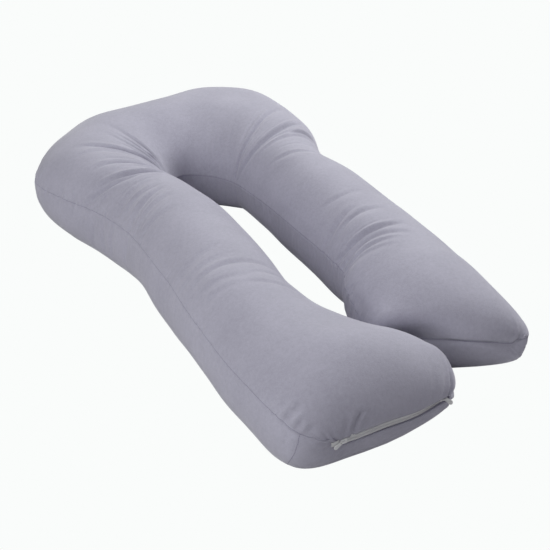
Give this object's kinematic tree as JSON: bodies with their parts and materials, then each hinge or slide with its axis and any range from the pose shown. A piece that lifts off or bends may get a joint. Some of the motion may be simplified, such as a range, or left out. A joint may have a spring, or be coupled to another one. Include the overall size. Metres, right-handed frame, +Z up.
{
  "type": "body pillow",
  "caption": "U-shaped body pillow, a plump cloth bag bent round a head rest with two long legs and a zip across one foot.",
  "frame": {"origin": "middle of the whole pillow in plan, on the surface that it lies on", "axes": "+Y from the two feet towards the round head, +X from the left leg to the right leg, +Z up"},
  "size_m": [0.6633, 1.3976, 0.2013],
  "materials": {
    "cloth": "matt brushed cotton jersey, lavender grey",
    "zip_tape": "woven polyester zip tape with a nylon coil",
    "zip_slider": "painted zinc, satin"
  },
  "bodies": {
    "root": {"pillow": "cloth", "zip_tape": "zip_tape", "slider_outer": "zip_slider", "slider_inner": "zip_slider", "pull_outer": "zip_slider", "pull_inner": "zip_slider"}
  },
  "joints": []
}
